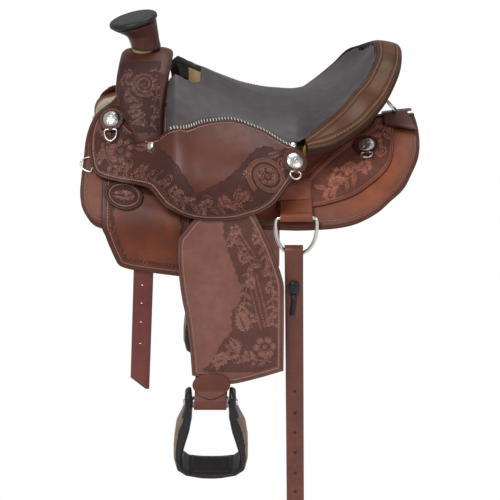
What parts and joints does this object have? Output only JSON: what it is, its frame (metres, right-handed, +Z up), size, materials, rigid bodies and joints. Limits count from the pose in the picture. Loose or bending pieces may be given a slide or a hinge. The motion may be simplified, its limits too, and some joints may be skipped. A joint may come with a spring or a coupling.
{
  "type": "western wade saddle",
  "caption": "Western wade saddle with a slick fork, broad horn, deep seat, round skirts, tooled fenders, bell stirrups, in-skirt rigging and hanging straps.",
  "frame": {"origin": "on the crest line of the horse's back under the middle of the saddle", "axes": "+X towards the horse's tail, +Y towards the saddle's off side (the horse's right), +Z up"},
  "size_m": [0.6393, 0.571, 0.9777],
  "materials": {
    "black leather": "satin black",
    "fleece": "matte wool pile",
    "latigo leather": "waxy satin, burgundy",
    "rawhide": "varnished rawhide",
    "roll leather": "satin, golden tan to dark brown",
    "seat leather": "soft satin, near black",
    "silver": "polished silver plate, engraved",
    "skirting": "satin, smooth, warm red-brown",
    "tooled leather": "satin, deep tooled, dark red-brown"
  },
  "bodies": {
    "saddle": {"fork_cover": "tooled leather", "horn_cap": "black leather", "horn_wrap": "tooled leather", "horn_core": "rawhide", "seat": "seat leather", "ground_seat": "rawhide", "cantle_roll": "roll leather", "cantle_back": "tooled leather", "tree": "rawhide", "near_fleece_lining": "fleece", "near_skirt": "skirting", "near_rear_jockey": "tooled leather", "near_rigging_plate": "skirting", "near_seat_jockey": "tooled leather", "near_latigo_keeper": "tooled leather", "off_fleece_lining": "fleece", "off_skirt": "skirting", "off_rear_jockey": "tooled leather", "off_rigging_plate": "skirting", "off_seat_jockey": "tooled leather", "off_latigo_keeper": "tooled leather", "near_upper_leather": "skirting", "off_upper_leather": "skirting", "near_rear_rig_tab": "skirting", "off_rear_rig_tab": "skirting", "near_front_rig_dee": "silver", "off_front_rig_dee": "silver", "near_front_concho": "silver", "near_mid_concho": "silver", "near_rear_concho": "silver", "off_front_concho": "silver", "off_mid_concho": "silver", "off_rear_concho": "silver", "rear_connector": "tooled leather"},
    "near_fender_assembly": {"near_stirrup_leather": "skirting", "near_fender": "tooled leather", "near_hobble_strap": "skirting"},
    "near_stirrup_on_bolt": {"near_stirrup": "black leather", "near_stirrup_bolt": "silver"},
    "near_rear_dee": {"near_rear_rig_dee": "silver"},
    "near_billet": {"near_back_billet": "skirting"},
    "latigo_hanging": {"latigo": "latigo leather"},
    "near_front_string_ring": {"near_front_string_dee": "silver"},
    "near_mid_string_ring": {"near_mid_string_dee": "silver"},
    "near_rear_string_ring": {"near_rear_string_dee": "silver"},
    "near_collar_dee": {"near_breast_collar_dee": "silver"},
    "off_fender_assembly": {"off_stirrup_leather": "skirting", "off_fender": "tooled leather", "off_hobble_strap": "skirting"},
    "off_stirrup_on_bolt": {"off_stirrup": "black leather", "off_stirrup_bolt": "silver"},
    "off_rear_dee": {"off_rear_rig_dee": "silver"},
    "off_billet": {"off_back_billet": "skirting"},
    "off_billet_hanging": {"off_billet": "latigo leather"},
    "off_front_string_ring": {"off_front_string_dee": "silver"},
    "off_mid_string_ring": {"off_mid_string_dee": "silver"},
    "off_rear_string_ring": {"off_rear_string_dee": "silver"},
    "off_collar_dee": {"off_breast_collar_dee": "silver"},
    "crupper_ring": {"crupper_dee": "silver"}
  },
  "joints": [
    {"name": "near_fender_swing", "type": "hinge", "parent": "saddle", "child": "near_fender_assembly", "pos_m": [-0.055, -0.21492, -0.08774], "axis": [0, 0.9981, -0.0611], "range_deg": [-25, 30]},
    {"name": "near_stirrup_swing", "type": "hinge", "parent": "near_fender_assembly", "child": "near_stirrup_on_bolt", "pos_m": [-0.0755, -0.2485, -0.45337], "axis": [1, 0, 0], "range_deg": [-35, 35]},
    {"name": "near_rear_dee_swing", "type": "hinge", "parent": "saddle", "child": "near_rear_dee", "pos_m": [0.0855, -0.20583, -0.0885], "axis": [-1, 0, 0], "range_deg": [0, 80]},
    {"name": "near_back_billet_swing", "type": "hinge", "parent": "near_rear_dee", "child": "near_billet", "pos_m": [0.08153, -0.20583, -0.159], "axis": [-1, 0, 0], "range_deg": [-20, 30]},
    {"name": "latigo_swing", "type": "hinge", "parent": "saddle", "child": "latigo_hanging", "pos_m": [-0.198, -0.19681, -0.171], "axis": [1, 0, 0], "range_deg": [0, 35]},
    {"name": "near_front_string_dee_swing", "type": "hinge", "parent": "saddle", "child": "near_front_string_ring", "pos_m": [-0.26019, -0.10212, 0.04615], "axis": [-0.9948, 0.0738, -0.0708], "range_deg": [0, 100]},
    {"name": "near_mid_string_dee_swing", "type": "hinge", "parent": "saddle", "child": "near_mid_string_ring", "pos_m": [0.08308, -0.19792, -0.0013], "axis": [-0.955, -0.2154, 0.2041], "range_deg": [0, 100]},
    {"name": "near_rear_string_dee_swing", "type": "hinge", "parent": "saddle", "child": "near_rear_string_ring", "pos_m": [0.21899, -0.10257, 0.00089], "axis": [-0.9962, 0.0403, -0.0772], "range_deg": [0, 100]},
    {"name": "near_collar_dee_swing", "type": "hinge", "parent": "saddle", "child": "near_collar_dee", "pos_m": [-0.29338, -0.12927, -0.01447], "axis": [0.1444, 0.6677, 0.7303], "range_deg": [0, 30]},
    {"name": "off_fender_swing", "type": "hinge", "parent": "saddle", "child": "off_fender_assembly", "pos_m": [-0.055, 0.21492, -0.08774], "axis": [0, 0.9981, 0.0611], "range_deg": [-25, 30]},
    {"name": "off_stirrup_swing", "type": "hinge", "parent": "off_fender_assembly", "child": "off_stirrup_on_bolt", "pos_m": [-0.0755, 0.2485, -0.45337], "axis": [1, 0, 0], "range_deg": [-35, 35]},
    {"name": "off_rear_dee_swing", "type": "hinge", "parent": "saddle", "child": "off_rear_dee", "pos_m": [0.0855, 0.20583, -0.0885], "axis": [1, 0, 0], "range_deg": [0, 80]},
    {"name": "off_back_billet_swing", "type": "hinge", "parent": "off_rear_dee", "child": "off_billet", "pos_m": [0.08153, 0.20583, -0.159], "axis": [1, 0, 0], "range_deg": [-20, 30]},
    {"name": "off_billet_swing", "type": "hinge", "parent": "saddle", "child": "off_billet_hanging", "pos_m": [-0.198, 0.19681, -0.171], "axis": [-1, 0, 0], "range_deg": [0, 35]},
    {"name": "off_front_string_dee_swing", "type": "hinge", "parent": "saddle", "child": "off_front_string_ring", "pos_m": [-0.26019, 0.10212, 0.04615], "axis": [0.9948, 0.0738, 0.0708], "range_deg": [0, 100]},
    {"name": "off_mid_string_dee_swing", "type": "hinge", "parent": "saddle", "child": "off_mid_string_ring", "pos_m": [0.08308, 0.19792, -0.0013], "axis": [0.955, -0.2154, -0.2041], "range_deg": [0, 100]},
    {"name": "off_rear_string_dee_swing", "type": "hinge", "parent": "saddle", "child": "off_rear_string_ring", "pos_m": [0.21899, 0.10257, 0.00089], "axis": [0.9962, 0.0403, 0.0772], "range_deg": [0, 100]},
    {"name": "off_collar_dee_swing", "type": "hinge", "parent": "saddle", "child": "off_collar_dee", "pos_m": [-0.29338, 0.12927, -0.01447], "axis": [-0.1444, 0.6677, -0.7303], "range_deg": [0, 30]},
    {"name": "crupper_dee_swing", "type": "hinge", "parent": "saddle", "child": "crupper_ring", "pos_m": [0.279, 0, 0.04957], "axis": [0, 1, 0], "range_deg": [0, 100]}
  ]
}
